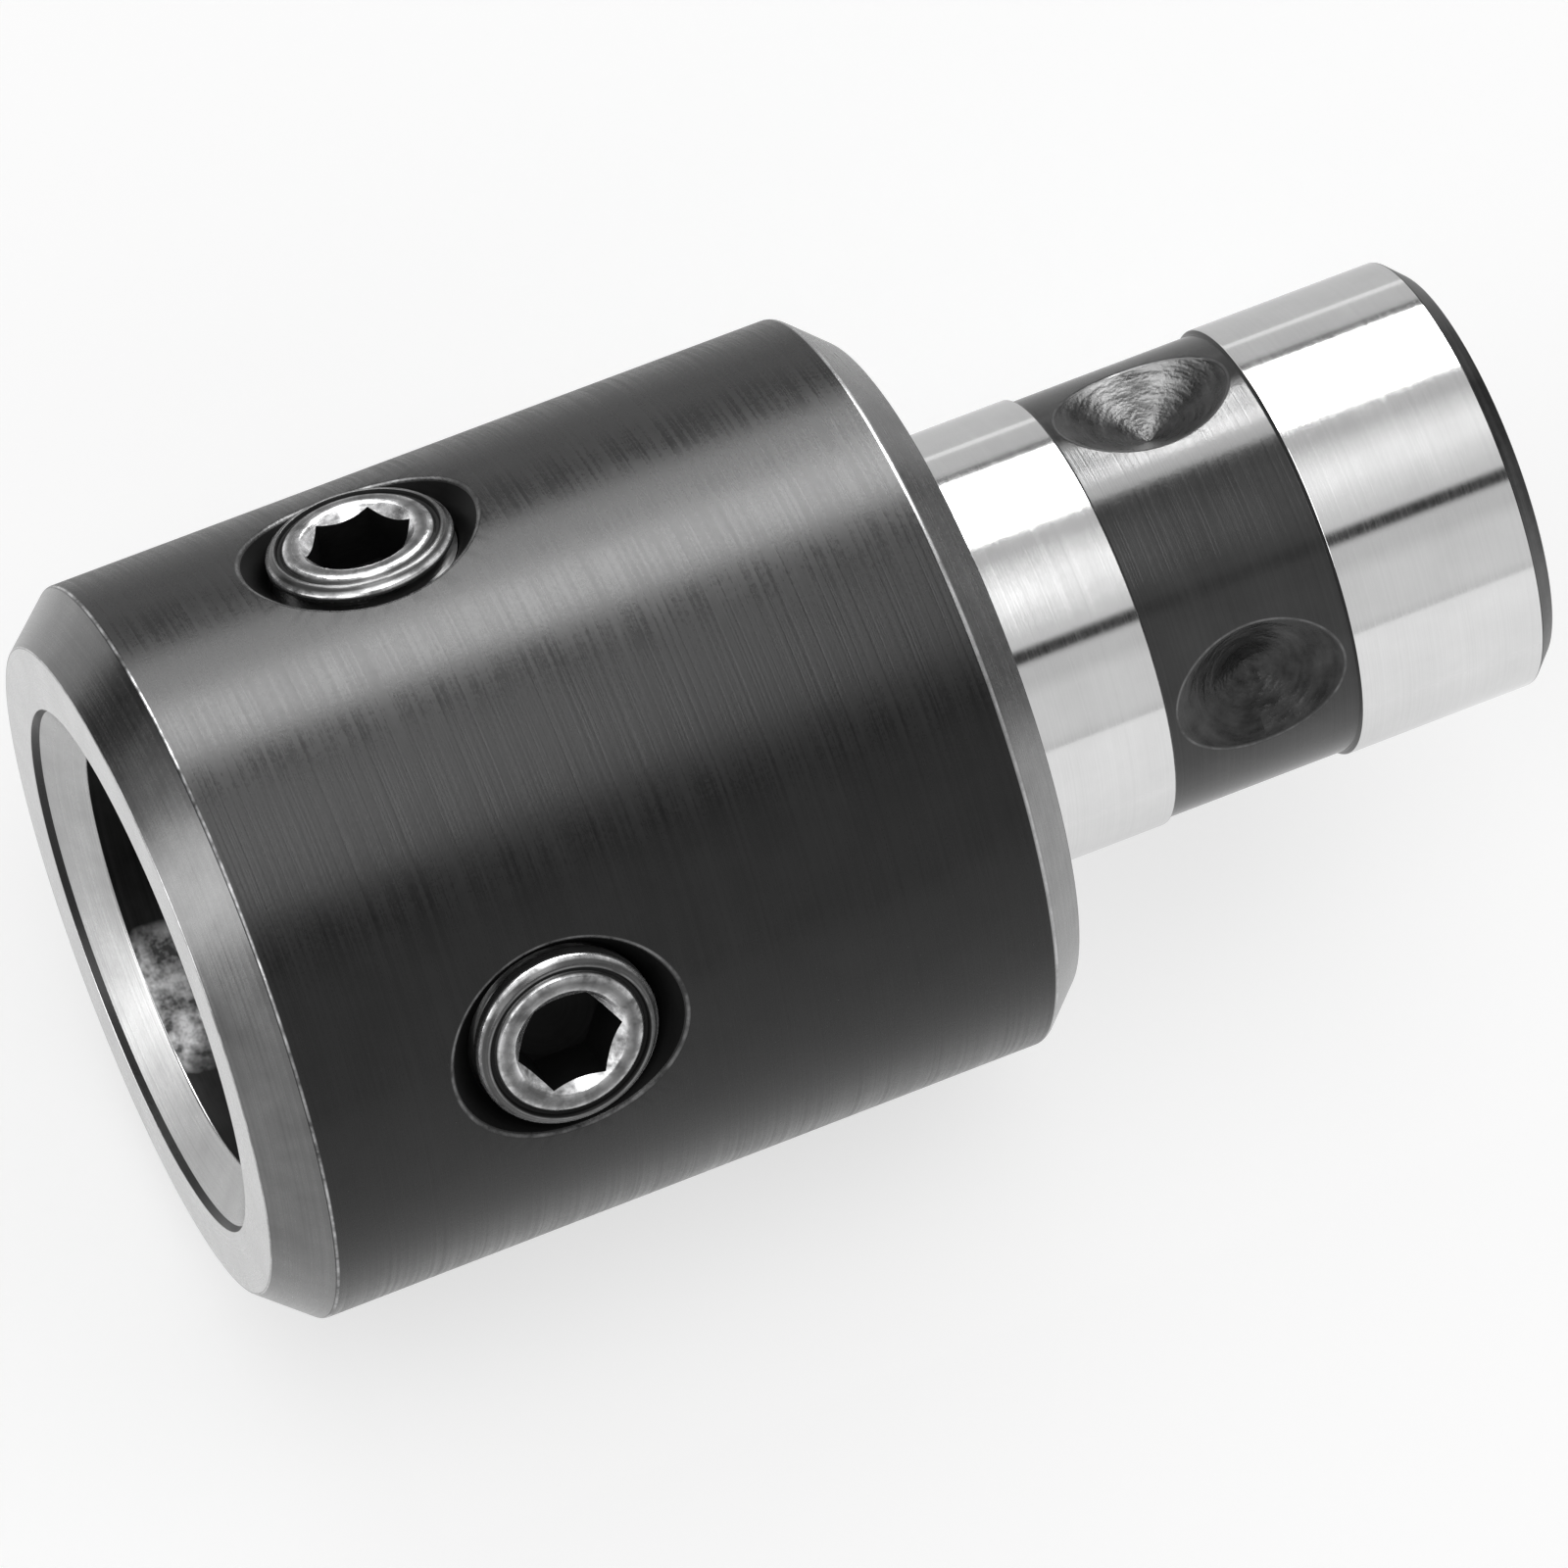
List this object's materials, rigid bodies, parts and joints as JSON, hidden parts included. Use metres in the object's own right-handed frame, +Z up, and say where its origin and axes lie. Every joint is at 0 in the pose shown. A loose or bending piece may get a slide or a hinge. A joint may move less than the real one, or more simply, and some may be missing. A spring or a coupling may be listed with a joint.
{
  "type": "side-lock tool holder",
  "caption": "Turned side-lock tool holder: plain bore with radial clamping set screws and a sprung ejector, on a parallel shank with conical drive seats.",
  "frame": {"origin": "on the axis, in the plane of the shoulder between the body and the shank", "axes": "+X along the axis from the bore's mouth towards the shank's end; +Z up with the holder lying on its side; -Y the side that the lower screw faces"},
  "size_m": [0.0606, 0.0324, 0.0324],
  "materials": {
    "black_oxide_steel": "black oxide over fine turning on the body and band, with ground bright lands, front face and mouth",
    "dark_screw_steel": "blackened alloy steel with bright worn edges",
    "pad_brass": "turned",
    "ground_steel": "ground and hardened",
    "spring_steel": "drawn wire",
    "phosphated_steel": "phosphated"
  },
  "bodies": {
    "holder": {"holder_body": "black_oxide_steel", "retaining_ring": "phosphated_steel", "ejector_spring": "spring_steel"},
    "upper_pad": {"thrust_pad_upper": "pad_brass"},
    "upper_screw": {"clamp_screw_upper": "dark_screw_steel"},
    "lower_pad": {"thrust_pad_lower": "pad_brass"},
    "lower_screw": {"clamp_screw_lower": "dark_screw_steel"},
    "ejector": {"ejector_plunger": "ground_steel"}
  },
  "joints": [
    {"name": "upper_screw_turn", "type": "hinge", "parent": "upper_pad", "child": "upper_screw", "pos_m": [-0.0227, 0.0076, 0.0143], "axis": [0, 0.4695, 0.8829], "range_deg": [-505, 721]},
    {"name": "upper_screw_travel", "type": "slide", "parent": "holder", "child": "upper_pad", "axis": [0, 0.4695, 0.8829], "range_m": [-0.00175, 0.0025]},
    {"name": "lower_screw_turn", "type": "hinge", "parent": "lower_pad", "child": "lower_screw", "pos_m": [-0.0227, -0.0143, 0.0076], "axis": [0, -0.8829, 0.4695], "range_deg": [-505, 721]},
    {"name": "lower_screw_travel", "type": "slide", "parent": "holder", "child": "lower_pad", "axis": [0, -0.8829, 0.4695], "range_m": [-0.00175, 0.0025]},
    {"name": "ejector_slide", "type": "slide", "parent": "holder", "child": "ejector", "axis": [1, 0, 0], "range_m": [0, 0.0075], "stiffness_N_per_m": 1980, "springref_m": -0.0035, "deforming": ["ejector_spring"]}
  ],
  "couplings": [
    {"joint": "upper_screw_turn", "follows": "upper_screw_travel", "rad_per_m": 5026.5},
    {"joint": "lower_screw_turn", "follows": "lower_screw_travel", "rad_per_m": 5026.5}
  ]
}
